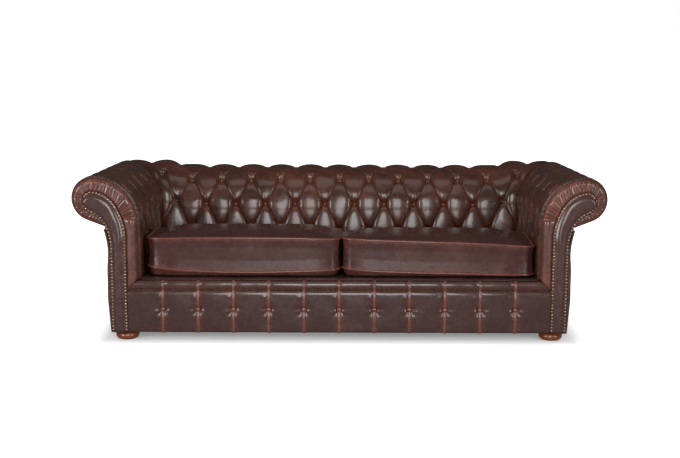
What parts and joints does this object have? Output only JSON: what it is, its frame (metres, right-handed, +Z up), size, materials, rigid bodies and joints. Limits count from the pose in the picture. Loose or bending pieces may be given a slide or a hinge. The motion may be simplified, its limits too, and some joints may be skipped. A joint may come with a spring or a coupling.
{
  "type": "chesterfield sofa",
  "caption": "Chesterfield sofa with rolled tufted arms and back, nailed scroll facings, loose seat cushions, a pleated front plinth and bun feet.",
  "frame": {"origin": "on the floor under the middle of the sofa's outline", "axes": "+Z up, the front faces -Y, +X to the sitter's left, which is the viewer's right when facing the front"},
  "size_m": [2.2998, 0.9498, 0.7117],
  "materials": {
    "cover_leather": "glossy two-tone antique leather, dark brown with rust rub-off",
    "trim_leather": "glossy rust-brown antique leather of borders, lip and bands",
    "facing_leather": "smooth dark plum-brown leather, soft gloss",
    "cushion_leather": "polished brown leather with rust piping",
    "antique_brass": "aged, polished on the domes",
    "foot_wood": "amber stained and lacquered",
    "frame_wood": "sawn beech, unfinished",
    "foam": "open-cell upholstery foam",
    "spring_steel": "oiled spring steel",
    "hessian_cloth": "coarse woven hessian",
    "webbing_cloth": "woven upholstery webbing",
    "black_cloth": "spun-bonded dust cloth",
    "zinc_steel": "zinc plated"
  },
  "bodies": {
    "frame": {"back_tufted_cover": "cover_leather", "back_buttons": "cover_leather", "left_arm_tufted_cover": "cover_leather", "right_arm_tufted_cover": "cover_leather", "left_arm_buttons": "cover_leather", "right_arm_buttons": "cover_leather", "left_scroll_border": "trim_leather", "right_scroll_border": "trim_leather", "front_lip": "trim_leather", "front_border_pad": "trim_leather", "front_buttons": "trim_leather", "left_scroll_facing": "facing_leather", "right_scroll_facing": "facing_leather", "left_outside_arm_panel": "facing_leather", "right_outside_arm_panel": "facing_leather", "outside_back_panel": "facing_leather", "left_facing_nails": "antique_brass", "right_facing_nails": "antique_brass", "left_front_foot": "foot_wood", "right_front_foot": "foot_wood", "left_rear_foot": "foot_wood", "right_rear_foot": "foot_wood", "front_rail": "frame_wood", "back_rail": "frame_wood", "left_side_rail": "frame_wood", "right_side_rail": "frame_wood", "seat_stretchers": "frame_wood", "corner_blocks": "frame_wood", "left_front_post": "frame_wood", "right_front_post": "frame_wood", "left_rear_post": "frame_wood", "right_rear_post": "frame_wood", "left_arm_top_rail": "frame_wood", "right_arm_top_rail": "frame_wood", "left_arm_stuffing_rail": "frame_wood", "right_arm_stuffing_rail": "frame_wood", "back_top_rail": "frame_wood", "back_stuffing_rail": "frame_wood", "back_uprights": "frame_wood", "left_arm_foam": "foam", "right_arm_foam": "foam", "back_foam": "foam", "seat_platform": "foam", "seat_springs": "spring_steel", "spring_clips": "spring_steel", "spring_tie_wires": "spring_steel", "seat_hessian": "hessian_cloth", "left_arm_webbing": "webbing_cloth", "right_arm_webbing": "webbing_cloth", "back_webbing": "webbing_cloth", "dust_cover": "black_cloth", "foot_bolts": "zinc_steel", "foot_t_nuts": "zinc_steel"},
    "left_cushion": {"left_seat_cushion": "cushion_leather"},
    "right_cushion": {"right_seat_cushion": "cushion_leather"}
  },
  "joints": [
    {"name": "left_cushion_lift", "type": "slide", "parent": "frame", "child": "left_cushion", "axis": [0, 0, 1], "range_m": [0, 0.46]},
    {"name": "right_cushion_lift", "type": "slide", "parent": "frame", "child": "right_cushion", "axis": [0, 0, 1], "range_m": [0, 0.46]}
  ]
}
